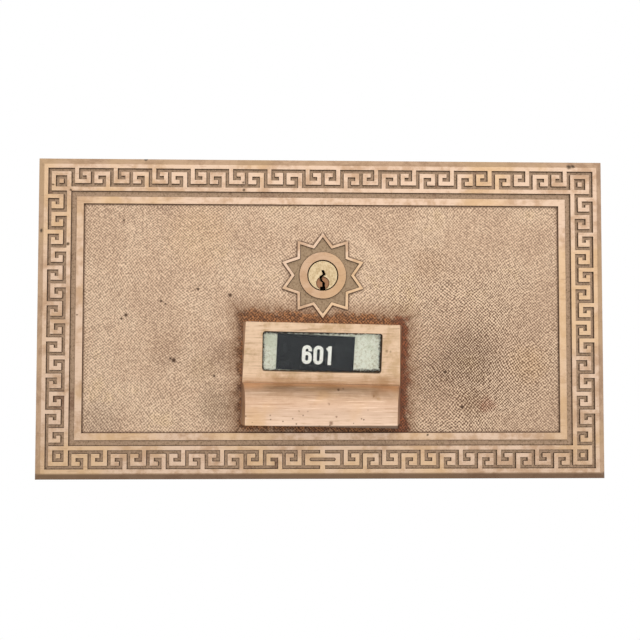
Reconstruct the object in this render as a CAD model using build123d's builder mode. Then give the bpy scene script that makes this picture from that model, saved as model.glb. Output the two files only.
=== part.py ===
from build123d import *
import os
from math import cos, pi, radians, sin

# Brass door of a parcel-size post office box, in its hidden rear frame.
# X runs right and Z up as the door is seen from the front, and the front faces -Y.
# The origin is the centre of the rear frame's mounting face.
# Levels are distances forward of that mounting face, so a larger level is nearer the front.

# ---------------------------------------------------------------- driving sizes
# Door casting
door_width = 276.2
door_height = 155.6
door_thick = 6.5
door_back = 25.5
edge_bevel = 3.2
edge_margin = 2.0
relief = 1.2
web = 2.8
rim = 10.0
rim_corner = 4.0
boss_height = 1.5
boss_radius = 3.2

# Greek key border: raised lines with sunk grooves between them
key_band = 9.0
key_line = 2.05
key_groove = 1.6
key_island = 2.2
inner_line = 2.1
plain_groove = 2.7
moulding = 3.4
half_top_hooks = 13
side_hooks = 14
bridge_width = 2.5
dash_length = 12.5
dash_width = 1.65

# Star and lock boss
lock_height = 20.9
star_points = 10
star_tip = 20.9
star_notch = 15.3
star_line = 1.35
lock_boss = 11.4
lock_hole = 7.55

# Pull with the number window
pull_width = 77.0
pull_length = 49.0
pull_top = -2.8
pull_shift = -0.6
pull_skew = 1.2
pull_draft = 10.5
pull_wall = 2.2
panel_rise = 9.0
panel_wall = 1.6
valley_drop = 29.0
valley_rise = 2.0
valley_round = 2.6
roll_drop = 42.0
roll_rise = 12.0
pocket_width = 63.0
pocket_drop = 26.5
window_width = 57.5
window_height = 19.7
window_drop = 13.9
window_round = 1.5
pull_screw_drops = (8.0, 37.0)

# Glass, cards and retainer behind the window
glass_width = 61.5
glass_height = 22.0
glass_thick = 1.0
label_width = 37.4
label_height = 17.6
label_thick = 0.3
label_shift = -3.2
label_drop = 0.85
label_tilt = -1.4
backing_thick = 0.4
card_gap = 0.05
pad_width = 44.0
pad_height = 19.0
retainer_width = 46.0
retainer_thick = 1.2
retainer_spread = 36.0
retainer_margin = 0.4

# Rear frame
door_lap_x = 8.1
door_lap_z = 6.8
frame_depth = 25.0
frame_wall = 3.0
flange_width = 10.0
flange_thick = 3.0
bolt_hole = 2.2

# Hinge
hinge_outset = 2.1
hinge_level = 20.5
hinge_spread = 96.0
ear_length = 8.0
lug_length = 5.0
barrel_radius = 3.6
hinge_pin = 1.5
hinge_fit = 0.05
hinge_gap = 0.3
swing_gap = 0.5

# Lock case, cylinder and plug
case_width = 46.0
case_ears = 62.0
case_below = 17.0
case_above = 21.0
case_round = 3.0
case_floor = 2.0
case_wall = 2.0
case_screw_low = -11.0
case_screw_high = 15.0
cover_thick = 1.5
post_radius = 2.8
shell_nose = 9.0
shell_body = 9.5
shell_length = 13.5
shell_fit = 0.05
chamber_width = 8.0
chamber_top = 16.5
cap_thick = 0.8
plug_radius = 7.0
plug_fit = 0.05
plug_collar = 7.4
plug_collar_length = 1.8
plug_sink = 0.5
plug_end_wall = 1.5
recess_radius = 3.25
recess_drop = 3.77
recess_depth = 0.8
keyway_width = 1.3
keyway_foot = 2.6
keyway_foot_drop = 5.4
tumblers = 5
tumbler_pitch = 2.6
tumbler_radius = 0.95
tumbler_fit = 0.05
key_pin_foot = 2.2
key_pin_length = 4.4
driver_length = 4.0
shear_gap = 0.15

# Cam and bolt
turn_angle = 90.0
bolt_travel = 8.0
cam_thick = 2.4
cam_hub = 6.0
cam_tip = 3.0
cam_gap = 0.1
drive_pin = 1.25
drive_play = 0.35
stub_radius = 3.2
stub_flat = 4.8
washer_radius = 4.1
washer_thick = 0.8
cam_screw_length = 4.0
bolt_height = 10.0
bolt_thick = 3.0
bolt_low = -0.5
bolt_tail = -12.0
tip_gap = 1.0
layer_gap = 0.3
slide_gap = 0.15
strike_gap = 0.4
guide_back = 18.0
guide_width = 8.0
guide_wall = 2.5
guide_foot = 7.0
guide_foot_thick = 2.0

# Screws
screw_shank = 1.25
screw_head = 2.4
screw_head_height = 1.4
screw_slot = 0.6
screw_slot_depth = 0.6
screw_bite = 3.2
screw_fit = 0.05

# ---------------------------------------------------------------- levels and places
border_top = door_back + door_thick
field_level = border_top - relief
wall_level = field_level - web
boss_level = wall_level - boss_height

band_width = door_width - 2 * (edge_bevel + edge_margin)
band_height = door_height - 2 * (edge_bevel + edge_margin)
line_width = band_width - 2 * key_band
line_height = band_height - 2 * key_band
groove_width = line_width - 2 * inner_line
groove_height = line_height - 2 * inner_line
moulding_width = groove_width - 2 * plain_groove
moulding_height = groove_height - 2 * plain_groove
field_width = moulding_width - 2 * moulding
field_height = moulding_height - 2 * moulding

frame_width = door_width - 2 * door_lap_x
frame_height = door_height - 2 * door_lap_z
bolt_spread_x = frame_width - 2 * frame_wall - flange_width
bolt_spread_z = frame_height - 2 * frame_wall - flange_width
hinge_x = -frame_width / 2 - hinge_outset
bolt_tip = frame_width / 2 - frame_wall - tip_gap
guide_x = bolt_tip - guide_back

top_hook = (groove_width - (2 * half_top_hooks + 1) * key_groove) / (2 * half_top_hooks)
side_hook = (groove_height - (side_hooks + 1) * key_groove) / side_hooks

floor_level = boss_level - case_floor
shell_rear = floor_level - shell_length
cam_front = shell_rear - cam_gap
cam_rear = cam_front - cam_thick
bolt_front = cam_rear - layer_gap
bolt_rear = bolt_front - bolt_thick
pin_end = bolt_rear - layer_gap
case_rear = pin_end - layer_gap
plug_front = border_top - plug_sink
guide_rear = bolt_rear - slide_gap - guide_wall

crank = bolt_travel / (2 * sin(radians(turn_angle / 2)))
crank_side = crank * sin(radians(turn_angle / 2))
crank_up = crank * cos(radians(turn_angle / 2))

bolt_middle = lock_height + bolt_low + bolt_height / 2
case_height = case_below + case_above
case_middle = lock_height + (case_above - case_below) / 2
case_screw_x = (case_ears + case_width) / 4
case_spots = [
    (side * case_screw_x, lock_height + rise)
    for side in (-1, 1)
    for rise in (case_screw_low, case_screw_high)
]
post_x = case_width / 2 - post_radius
post_z = case_height / 2 - post_radius
post_spots = [
    (side * post_x, case_middle + end * post_z) for side in (-1, 1) for end in (-1, 1)
]
guide_tower = bolt_height + 2 * (slide_gap + guide_wall)
guide_reach = (guide_tower + guide_foot) / 2
guide_spots = [(guide_x, bolt_middle + end * guide_reach) for end in (-1, 1)]
tumbler_levels = [
    shell_rear + shell_length / 2 + (count - (tumblers - 1) / 2) * tumbler_pitch
    for count in range(tumblers)
]

# The pull sits a little out of square, so it has its own planes: one on the field,
# and one through its middle whose coordinates are the drop from its top and the rise.
pull_plane = Plane(
    origin=(pull_shift, -field_level, pull_top - pull_length / 2),
    x_dir=(cos(radians(pull_skew)), 0, -sin(radians(pull_skew))),
    z_dir=(0, -1, 0),
)
pull_side = Plane(
    origin=pull_plane.from_local_coords(Vector(0, pull_length / 2, 0)),
    x_dir=-pull_plane.y_dir,
    z_dir=-pull_plane.x_dir,
)
panel_slope = (panel_rise - valley_rise) / valley_drop
panel_stretch = (1 + panel_slope**2) ** 0.5
panel_plane = Plane(
    origin=pull_side.from_local_coords(Vector(window_drop, panel_rise - panel_slope * window_drop, 0)),
    x_dir=pull_plane.x_dir,
    z_dir=pull_plane.z_dir - pull_plane.y_dir * panel_slope,
)
pull_screw_x = (pull_width + pocket_width) / 4
pull_spots = [
    (side * pull_screw_x, pull_length / 2 - drop) for side in (-1, 1) for drop in pull_screw_drops
]
retainer_drops = (
    pull_wall - boss_radius - retainer_margin,
    pocket_drop + boss_radius + retainer_margin,
)
retainer_spots = [
    (side * retainer_spread / 2, pull_length / 2 - drop) for side in (-1, 1) for drop in retainer_drops
]


# ---------------------------------------------------------------- shared shapes
def front(level):
    """Plane facing the front at a level, with X right and Y up."""
    return Plane.XZ.offset(level)


def on_pull(level):
    """Plane facing the front at a level, turned and placed as the pull is."""
    return pull_plane.offset(level - field_level)


def panel_back(drop, depth):
    """Rise of a surface that lies a depth behind the sloping panel, at a drop from the pull's top."""
    return panel_rise - panel_slope * drop - depth * panel_stretch


def save(piece, name):
    """Label a finished piece and write it."""
    piece.part.label = name
    export_step(piece.part, f"parts/{name}.step")


def drill(plane, spots, radius, length):
    """Holes that run forward from a plane."""
    with BuildSketch(plane) as holes:
        with Locations(*spots):
            Circle(radius)
    extrude(holes.sketch, amount=length, mode=Mode.SUBTRACT)


def add_screws(plane, spots, length):
    """Slotted screws whose heads seat on the rear of a plane and whose shanks run forward."""
    with BuildSketch(plane) as heads:
        with Locations(*spots):
            Circle(screw_head)
    extrude(heads.sketch, amount=-screw_head_height)
    with BuildSketch(plane) as shanks:
        with Locations(*spots):
            Circle(screw_shank)
    extrude(shanks.sketch, amount=length)
    with BuildSketch(plane.offset(-screw_head_height)) as slots:
        with Locations(*spots):
            Rectangle(2 * screw_head, screw_slot)
    extrude(slots.sketch, amount=screw_slot_depth, mode=Mode.SUBTRACT)


def key_outline(width, bar_first, from_outside):
    """One turn of the key: a bar from the border, a foot, an arm and a stub that turns back in."""
    far = key_band - key_groove
    near = key_groove
    stub = key_line + key_groove
    outline = [
        (0, 0),
        (0, far),
        (width, far),
        (width, near),
        (stub, near),
        (stub, near + key_line),
        (width - key_line, near + key_line),
        (width - key_line, far - key_line),
        (key_line, far - key_line),
        (key_line, 0),
    ]
    if not bar_first:
        outline = [(width - along, inward) for along, inward in outline]
    if not from_outside:
        outline = [(along, key_band - inward) for along, inward in outline]
    return outline


def hinge_barrel(level_z, length, joined_x, joined_y):
    """A hinge knuckle around the axis, with a square root that reaches out in X and in Y."""
    with BuildSketch(Plane.XY.offset(level_z)) as section:
        with Locations((hinge_x, -hinge_level)):
            Circle(barrel_radius)
        if joined_x:
            with Locations((hinge_x + joined_x / 2, -hinge_level)):
                Rectangle(joined_x, 2 * barrel_radius)
        if joined_y:
            with Locations((hinge_x, -hinge_level - joined_y / 2)):
                Rectangle(2 * barrel_radius, joined_y)
    extrude(section.sketch, amount=length)


def hinge_bore(level_z, length):
    """The pin's bore through a knuckle."""
    with BuildSketch(Plane.XY.offset(level_z)) as bore:
        with Locations((hinge_x, -hinge_level)):
            Circle(hinge_pin + hinge_fit)
    extrude(bore.sketch, amount=length, mode=Mode.SUBTRACT)


os.makedirs("parts", exist_ok=True)

ear_starts = [end * hinge_spread / 2 - ear_length / 2 for end in (-1, 1)]
lug_starts = []
for ear_start in ear_starts:
    lug_starts.append(ear_start - hinge_gap - lug_length)
    lug_starts.append(ear_start + ear_length + hinge_gap)

# ---------------------------------------------------------------- rear frame
with BuildPart() as rear_frame:
    with BuildSketch(front(0)):
        Rectangle(frame_width, frame_height)
    extrude(amount=frame_depth)
    with BuildSketch(front(flange_thick)):
        Rectangle(frame_width - 2 * frame_wall, frame_height - 2 * frame_wall)
    extrude(amount=frame_depth - flange_thick, mode=Mode.SUBTRACT)
    with BuildSketch(front(0)):
        Rectangle(
            frame_width - 2 * (frame_wall + flange_width), frame_height - 2 * (frame_wall + flange_width)
        )
        with GridLocations(bolt_spread_x, bolt_spread_z, 2, 2):
            Circle(bolt_hole)
    extrude(amount=flange_thick, mode=Mode.SUBTRACT)
    # Slots that let the door's hinge ears through the left wall
    slot_depth = frame_depth - hinge_level + barrel_radius + swing_gap
    with BuildSketch(Plane.YZ.offset(-frame_width / 2)):
        for ear_start in ear_starts:
            with Locations((-frame_depth + slot_depth / 2, ear_start + ear_length / 2)):
                Rectangle(slot_depth, ear_length + 2 * hinge_gap)
    extrude(amount=frame_wall, mode=Mode.SUBTRACT)
    # Hinge lugs either side of each slot
    for lug_start in lug_starts:
        hinge_barrel(lug_start, lug_length, -frame_width / 2 + frame_wall / 2 - hinge_x, 0)
        hinge_bore(lug_start, lug_length)
    # Slot in the right wall that the bolt is thrown into
    with BuildSketch(Plane.YZ.offset(frame_width / 2)):
        with Locations((-(bolt_front + bolt_rear) / 2, bolt_middle)):
            Rectangle(bolt_thick + 2 * strike_gap, bolt_height + 2 * strike_gap)
    extrude(amount=-frame_wall, mode=Mode.SUBTRACT)
save(rear_frame, "rear_frame")

with BuildPart() as hinge_pins:
    for ear_start in ear_starts:
        with BuildSketch(Plane.XY.offset(ear_start - hinge_gap - lug_length)):
            with Locations((hinge_x, -hinge_level)):
                Circle(hinge_pin)
        extrude(amount=ear_length + 2 * (hinge_gap + lug_length))
save(hinge_pins, "hinge_pins")

# ---------------------------------------------------------------- door casting
# Raised lines of the key, drawn as the front is seen. Each row starts at a corner box.
turns = []
for side in (-1, 1):
    for count in range(half_top_hooks):
        start = groove_width / 2 - key_groove - count * (top_hook + key_groove)
        bar_first = count % 2 == 0
        outline = key_outline(top_hook, bar_first, bar_first)
        turns.append([(side * (start - along), band_height / 2 - inward) for along, inward in outline])
    for count in range(half_top_hooks - 1):
        start = groove_width / 2 - key_groove - count * (top_hook + key_groove)
        outline = key_outline(top_hook, False, count % 2 == 0)
        turns.append([(side * (start - along), inward - band_height / 2) for along, inward in outline])
    for count in range(side_hooks):
        start = groove_height / 2 - key_groove - count * (side_hook + key_groove)
        outline = key_outline(side_hook, True, count % 2 == 0)
        turns.append([(side * (band_width / 2 - inward), start - along) for along, inward in outline])

with BuildSketch() as key_lines:
    add([Polygon(*outline, align=None, mode=Mode.PRIVATE) for outline in turns])
    # The figure that takes the place of the two middle turns at the bottom
    with Locations((0, key_band / 2 - band_height / 2)):
        Rectangle(2 * top_hook + key_groove, key_band - 2 * key_groove)
        Rectangle(bridge_width, key_band)
        SlotOverall(dash_length, dash_width, mode=Mode.SUBTRACT)
    # Corner boxes, each with an island in its middle
    box_outer = key_band + inner_line - key_groove
    box_inner = key_band - key_groove - key_line
    box_shift = key_groove + box_outer / 2
    hole_shift = key_groove + key_line + box_inner / 2
    with GridLocations(band_width - 2 * box_shift, band_height - 2 * box_shift, 2, 2):
        Rectangle(box_outer, box_outer)
    with GridLocations(band_width - 2 * hole_shift, band_height - 2 * hole_shift, 2, 2):
        Rectangle(box_inner, box_inner, mode=Mode.SUBTRACT)
        Rectangle(key_island, key_island)

# The raised line of the star around the lock
with BuildSketch() as star:
    with Locations((0, lock_height)):
        Polygon(
            *[
                (
                    (star_notch if count % 2 else star_tip) * sin(pi * count / star_points),
                    (star_notch if count % 2 else star_tip) * cos(pi * count / star_points),
                )
                for count in range(2 * star_points)
            ],
            align=None,
        )
    offset(amount=-star_line, kind=Kind.INTERSECTION, mode=Mode.SUBTRACT)

with BuildPart() as door_casting:
    with BuildSketch(front(door_back)):
        Rectangle(door_width, door_height)
    extrude(amount=door_thick)
    chamfer(door_casting.faces().sort_by(Axis.Y)[0].edges(), length=edge_bevel)
    # Hollow back inside the rim
    with BuildSketch(front(door_back)):
        RectangleRounded(door_width - 2 * rim, door_height - 2 * rim, rim_corner)
    extrude(amount=wall_level - door_back, mode=Mode.SUBTRACT)
    # Sunk areas of the front
    with BuildSketch(front(border_top)):
        Rectangle(groove_width, groove_height)
        Rectangle(moulding_width, moulding_height, mode=Mode.SUBTRACT)
    extrude(amount=-relief, mode=Mode.SUBTRACT)
    with BuildSketch(front(border_top)):
        Rectangle(field_width, field_height)
        add(star.sketch, mode=Mode.SUBTRACT)
        with Locations((0, lock_height)):
            Circle(lock_boss, mode=Mode.SUBTRACT)
    extrude(amount=-relief, mode=Mode.SUBTRACT)
    # Lock hole, and the way through behind the number window
    with BuildSketch(front(wall_level)):
        with Locations((0, lock_height)):
            Circle(lock_hole)
    extrude(amount=web + relief, mode=Mode.SUBTRACT)
    with BuildSketch(on_pull(wall_level)):
        with Locations((0, (pull_length - pull_wall - pocket_drop) / 2)):
            Rectangle(pocket_width, pocket_drop - pull_wall)
    extrude(amount=web, mode=Mode.SUBTRACT)
    # Screw bosses on the back
    with BuildSketch(front(boss_level)):
        with Locations(*case_spots, *guide_spots):
            Circle(boss_radius)
    extrude(amount=boss_height)
    with BuildSketch(on_pull(boss_level)):
        with Locations(*retainer_spots):
            Circle(boss_radius)
    extrude(amount=boss_height)
    drill(front(boss_level), case_spots + guide_spots, screw_shank + screw_fit, screw_bite)
    drill(on_pull(boss_level), retainer_spots, screw_shank + screw_fit, screw_bite)
    drill(on_pull(wall_level), pull_spots, screw_shank + screw_fit, web)
    # Hinge ears
    for ear_start in ear_starts:
        hinge_barrel(ear_start, ear_length, 0, door_back - hinge_level)
        hinge_bore(ear_start, ear_length)
    # Sunk ground of the key border
    with BuildSketch(front(border_top)):
        Rectangle(band_width, band_height)
        Rectangle(line_width, line_height, mode=Mode.SUBTRACT)
        add(key_lines.sketch, mode=Mode.SUBTRACT)
    extrude(amount=-relief, mode=Mode.SUBTRACT)
save(door_casting, "door_casting")

# ---------------------------------------------------------------- pull and window
with BuildPart() as pull:
    with BuildSketch(pull_side):
        with BuildLine():
            Polyline((roll_drop, valley_rise + roll_rise), (pull_length, valley_rise + roll_rise), (pull_length, 0))
            Polyline((pull_length, 0), (0, 0), (0, panel_rise), (valley_drop, valley_rise))
            EllipticalCenterArc(
                (roll_drop, valley_rise), roll_drop - valley_drop, roll_rise, start_angle=90, arc_size=90
            )
        make_face()
    extrude(amount=pull_width / 2, both=True)
    valley = pull.edges().filter_by(lambda edge: abs(edge.length - pull_width) < pull_wall)
    valley = valley.sort_by_distance(pull_side.from_local_coords(Vector(valley_drop, valley_rise, 0)))[0]
    fillet(valley, valley_round)
    with BuildSketch(pull_plane):
        Rectangle(pull_width, 2 * pull_length)
    extrude(amount=2 * panel_rise, taper=pull_draft, mode=Mode.INTERSECT)
    # Pocket behind the panel, and the finger hollow under the roll
    with BuildSketch(pull_side):
        Polygon(
            (pull_wall, 0),
            (pull_wall, panel_back(pull_wall, panel_wall)),
            (pocket_drop, panel_back(pocket_drop, panel_wall)),
            (pocket_drop, 0),
            align=None,
        )
    extrude(amount=pocket_width / 2, both=True, mode=Mode.SUBTRACT)
    with BuildSketch(pull_side):
        with BuildLine():
            EllipticalCenterArc(
                (roll_drop, valley_rise),
                roll_drop - valley_drop - pull_wall,
                roll_rise - pull_wall,
                start_angle=90,
                arc_size=90,
            )
            Polyline(
                (valley_drop + pull_wall, valley_rise),
                (valley_drop + pull_wall, 0),
                (pull_length, 0),
                (pull_length, valley_rise + roll_rise - pull_wall),
                (roll_drop, valley_rise + roll_rise - pull_wall),
            )
        make_face()
    extrude(amount=pocket_width / 2, both=True, mode=Mode.SUBTRACT)
    # Window
    with BuildSketch(panel_plane):
        RectangleRounded(window_width, window_height, window_round)
    extrude(amount=-2 * panel_wall, mode=Mode.SUBTRACT)
    drill(pull_plane, pull_spots, screw_shank + screw_fit, screw_bite + screw_fit)
save(pull, "pull")

glass_level = -panel_wall
label_level = glass_level - glass_thick - card_gap
backing_level = label_level - label_thick - card_gap
pad_level = backing_level - backing_thick - card_gap

with BuildPart() as window_glass:
    with BuildSketch(panel_plane.offset(glass_level - card_gap)):
        Rectangle(glass_width, glass_height)
    extrude(amount=-(glass_thick - card_gap))
save(window_glass, "window_glass")

with BuildPart() as number_card:
    with BuildSketch(panel_plane.offset(label_level)):
        with Locations((label_shift, -label_drop)):
            Rectangle(label_width, label_height, rotation=label_tilt)
    extrude(amount=-label_thick)
save(number_card, "number_card")

with BuildPart() as backing_card:
    with BuildSketch(panel_plane.offset(backing_level)):
        Rectangle(glass_width, glass_height)
    extrude(amount=-backing_thick)
save(backing_card, "backing_card")

pad_top = window_drop - pad_height / 2
pad_low = window_drop + pad_height / 2
with BuildPart() as card_retainer:
    with BuildSketch(on_pull(boss_level)):
        with Locations((0, (pull_length - sum(retainer_drops)) / 2)):
            Rectangle(retainer_width, retainer_drops[1] - retainer_drops[0] + 2 * boss_radius)
    extrude(amount=-retainer_thick)
    with BuildSketch(pull_side):
        Polygon(
            (pad_top, boss_level - retainer_thick - field_level),
            (pad_top, panel_back(pad_top, -pad_level)),
            (pad_low, panel_back(pad_low, -pad_level)),
            (pad_low, boss_level - retainer_thick - field_level),
            align=None,
        )
    extrude(amount=pad_width / 2, both=True)
    drill(on_pull(boss_level - retainer_thick), retainer_spots, screw_shank + screw_fit, retainer_thick)
save(card_retainer, "card_retainer")

with BuildPart() as pull_screws:
    add_screws(on_pull(wall_level), pull_spots, web + screw_bite)
save(pull_screws, "pull_screws")

with BuildPart() as retainer_screws:
    add_screws(
        on_pull(boss_level - retainer_thick), retainer_spots, retainer_thick + screw_bite - screw_fit
    )
save(retainer_screws, "retainer_screws")

# ---------------------------------------------------------------- lock case and cylinder
with BuildPart() as lock_case:
    with BuildSketch(front(boss_level)):
        with Locations((0, case_middle)):
            RectangleRounded(case_ears, case_height, case_round)
    extrude(amount=-case_floor)
    with BuildSketch(front(floor_level)):
        with Locations((0, case_middle)):
            RectangleRounded(case_width, case_height, case_round)
            Rectangle(case_width - 2 * case_wall, case_height - 2 * case_wall, mode=Mode.SUBTRACT)
        with Locations(*post_spots):
            Circle(post_radius)
    extrude(amount=case_rear - floor_level)
    with BuildSketch(front(floor_level)):
        with Locations((0, lock_height)):
            Circle(shell_nose + shell_fit)
    extrude(amount=case_floor, mode=Mode.SUBTRACT)
    drill(front(floor_level), case_spots, screw_shank + screw_fit, case_floor)
    drill(front(case_rear), post_spots, screw_shank + screw_fit, screw_bite)
    # Notch that the bolt slides out through, closed by the cover
    with BuildSketch(front(case_rear)):
        with Locations((case_width / 2, bolt_middle)):
            Rectangle(2 * case_wall, bolt_height + 2 * slide_gap)
    extrude(amount=bolt_front + slide_gap - case_rear, mode=Mode.SUBTRACT)
save(lock_case, "lock_case")

with BuildPart() as case_cover:
    with BuildSketch(front(case_rear)):
        with Locations((0, case_middle)):
            RectangleRounded(case_width, case_height, case_round)
        with Locations(*post_spots):
            Circle(screw_shank + screw_fit, mode=Mode.SUBTRACT)
    extrude(amount=-cover_thick)
save(case_cover, "case_cover")

with BuildPart() as case_screws:
    add_screws(front(floor_level), case_spots, case_floor + screw_bite - screw_fit)
save(case_screws, "case_screws")

with BuildPart() as cover_screws:
    add_screws(front(case_rear - cover_thick), post_spots, cover_thick + screw_bite - screw_fit)
save(cover_screws, "cover_screws")

with BuildPart() as cylinder_shell:
    with BuildSketch(front(boss_level)):
        with Locations((0, lock_height)):
            Circle(shell_nose)
    extrude(amount=-case_floor)
    with BuildSketch(front(floor_level)):
        with Locations((0, lock_height)):
            Circle(shell_body)
        with Locations((0, lock_height + chamber_top / 2)):
            Rectangle(chamber_width, chamber_top)
    extrude(amount=-shell_length)
    with BuildSketch(front(boss_level)):
        with Locations((0, lock_height)):
            Circle(plug_radius + plug_fit)
    extrude(amount=-(case_floor + shell_length), mode=Mode.SUBTRACT)
    with BuildSketch(Plane.XY.offset(lock_height)):
        with Locations(*[(0, -level) for level in tumbler_levels]):
            Circle(tumbler_radius + tumbler_fit)
    extrude(amount=chamber_top, mode=Mode.SUBTRACT)
save(cylinder_shell, "cylinder_shell")

with BuildPart() as chamber_cap:
    with BuildSketch(Plane.XY.offset(lock_height + chamber_top)):
        with Locations((0, -(floor_level + shell_rear) / 2)):
            Rectangle(chamber_width, shell_length)
    extrude(amount=cap_thick)
save(chamber_cap, "chamber_cap")

with BuildPart() as key_pins:
    with BuildSketch(Plane.XY.offset(lock_height + key_pin_foot)):
        with Locations(*[(0, -level) for level in tumbler_levels]):
            Circle(tumbler_radius)
    extrude(amount=key_pin_length)
    chamfer(key_pins.faces().group_by(Axis.Z)[0].edges(), length=tumbler_radius / 2)
save(key_pins, "key_pins")

with BuildPart() as driver_pins:
    with BuildSketch(Plane.XY.offset(lock_height + plug_radius + shear_gap)):
        with Locations(*[(0, -level) for level in tumbler_levels]):
            Circle(tumbler_radius)
    extrude(amount=driver_length)
save(driver_pins, "driver_pins")

# ---------------------------------------------------------------- plug, cam and bolt
# The keyway's zigzag, as the middle line of a slot of even width that ends in a square foot
keyway_line = [(-0.1, 2.6), (0.7, 0.5), (-0.85, -0.5), (-0.85, -2.4), (0.45, -3.5), (0.45, -6.0)]

with BuildPart() as key_plug:
    with BuildSketch(front(plug_front)):
        with Locations((0, lock_height)):
            Circle(plug_radius)
    extrude(amount=shell_rear - plug_front)
    with BuildSketch(front(boss_level + cam_gap)):
        with Locations((0, lock_height)):
            Circle(plug_collar)
    extrude(amount=plug_collar_length)
    with BuildSketch(front(shell_rear)):
        with Locations((0, lock_height)):
            Circle(stub_radius)
            Rectangle(stub_flat, 2 * stub_radius, mode=Mode.INTERSECT)
    extrude(amount=cam_rear + washer_thick - shell_rear)
    with BuildSketch(front(cam_rear + washer_thick)):
        with Locations((0, lock_height)):
            Circle(screw_shank + screw_fit)
    extrude(amount=cam_screw_length + screw_fit, mode=Mode.SUBTRACT)
    with BuildSketch(front(plug_front)):
        with Locations((0, lock_height - recess_drop)):
            Circle(recess_radius)
    extrude(amount=-recess_depth, mode=Mode.SUBTRACT)
    with BuildSketch(front(plug_front)):
        Polygon(
            *[(x + keyway_width / 2, lock_height + z) for x, z in keyway_line],
            *[(x - keyway_width / 2, lock_height + z) for x, z in reversed(keyway_line)],
            align=None,
        )
        with Locations((0, lock_height - (keyway_foot_drop + plug_collar) / 2)):
            Rectangle(keyway_foot, plug_collar - keyway_foot_drop)
    extrude(amount=-(plug_front - shell_rear - plug_end_wall), mode=Mode.SUBTRACT)
    with BuildSketch(Plane.XY.offset(lock_height + key_pin_foot - tumbler_fit)):
        with Locations(*[(0, -level) for level in tumbler_levels]):
            Circle(tumbler_radius + tumbler_fit)
    extrude(amount=plug_radius, mode=Mode.SUBTRACT)
save(key_plug, "key_plug")

with BuildPart() as cam:
    with BuildSketch(front(cam_front)):
        with Locations((0, lock_height)):
            Circle(cam_hub)
        with Locations((-crank_side, lock_height + crank_up)):
            Circle(cam_tip)
        make_hull()
    extrude(amount=-cam_thick)
    with BuildSketch(front(cam_front)):
        with Locations((0, lock_height)):
            Circle(stub_radius + screw_fit)
            Rectangle(stub_flat + 2 * screw_fit, 3 * stub_radius, mode=Mode.INTERSECT)
    extrude(amount=-cam_thick, mode=Mode.SUBTRACT)
    with BuildSketch(front(cam_rear)):
        with Locations((0, lock_height)):
            Circle(washer_radius + screw_fit)
    extrude(amount=washer_thick, mode=Mode.SUBTRACT)
    with BuildSketch(front(cam_rear + washer_thick)):
        with Locations((-crank_side, lock_height + crank_up)):
            Circle(drive_pin)
    extrude(amount=pin_end - cam_rear - washer_thick)
save(cam, "cam")

with BuildPart() as cam_screw:
    with BuildSketch(front(cam_rear + washer_thick)):
        with Locations((0, lock_height)):
            Circle(washer_radius)
    extrude(amount=-washer_thick)
    with BuildSketch(front(cam_rear + washer_thick)):
        with Locations((0, lock_height)):
            Circle(screw_shank)
    extrude(amount=cam_screw_length)
    with BuildSketch(front(cam_rear)):
        with Locations((0, lock_height)):
            Rectangle(2 * washer_radius, screw_slot)
    extrude(amount=washer_thick / 2, mode=Mode.SUBTRACT)
save(cam_screw, "cam_screw")

with BuildPart() as latch_bolt:
    with BuildSketch(front(bolt_front)):
        with Locations(((bolt_tail + bolt_tip) / 2, bolt_middle)):
            Rectangle(bolt_tip - bolt_tail, bolt_height)
        with Locations((-crank_side, lock_height + (crank + crank_up) / 2)):
            Rectangle(
                2 * (drive_pin + drive_play),
                crank - crank_up + 2 * (drive_pin + drive_play),
                mode=Mode.SUBTRACT,
            )
    extrude(amount=-bolt_thick)
save(latch_bolt, "latch_bolt")

with BuildPart() as bolt_guide:
    with BuildSketch(front(boss_level)):
        with Locations((guide_x, bolt_middle)):
            Rectangle(guide_width, guide_tower + 2 * guide_foot)
    extrude(amount=-guide_foot_thick)
    with BuildSketch(front(boss_level)):
        with Locations((guide_x, bolt_middle)):
            Rectangle(guide_width, guide_tower)
    extrude(amount=guide_rear - boss_level)
    # Way through for the bolt, and the open middle of the bracket
    open_front = boss_level - guide_foot_thick - guide_wall
    open_rear = bolt_front + slide_gap + guide_wall
    with BuildSketch(Plane.YZ.offset(guide_x - guide_width / 2)):
        with Locations((-(bolt_front + bolt_rear) / 2, bolt_middle)):
            Rectangle(bolt_thick + 2 * slide_gap, bolt_height + 2 * slide_gap)
        with Locations((-(open_front + open_rear) / 2, bolt_middle)):
            Rectangle(open_front - open_rear, bolt_height)
    extrude(amount=guide_width, mode=Mode.SUBTRACT)
    drill(front(boss_level - guide_foot_thick), guide_spots, screw_shank + screw_fit, guide_foot_thick)
save(bolt_guide, "bolt_guide")

with BuildPart() as guide_screws:
    add_screws(
        front(boss_level - guide_foot_thick), guide_spots, guide_foot_thick + screw_bite - screw_fit
    )
save(guide_screws, "guide_screws")
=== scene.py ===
"""Brass post office box door: finishes, number label and studio around the packed frame."""

import math

import bmesh
import bpy
from bpy.props import FloatProperty, FloatVectorProperty, PointerProperty, StringProperty
from mathutils import Matrix, Vector, noise


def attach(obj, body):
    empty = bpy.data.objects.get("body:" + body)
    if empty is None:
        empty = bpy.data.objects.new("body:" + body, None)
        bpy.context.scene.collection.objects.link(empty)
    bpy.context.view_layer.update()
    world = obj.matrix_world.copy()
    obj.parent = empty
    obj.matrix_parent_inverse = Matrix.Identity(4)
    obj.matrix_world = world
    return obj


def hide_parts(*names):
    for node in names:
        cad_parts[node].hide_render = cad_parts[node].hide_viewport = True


bl_info = {
    "name": "Post office box door",
    "version": (1, 0, 0),
    "blender": (4, 5, 0),
    "location": "3D View > Sidebar > Box door",
    "description": "Dresses the brass door of a post office box, its pull, window, lock and rear frame",
    "category": "Add Mesh",
}

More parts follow.
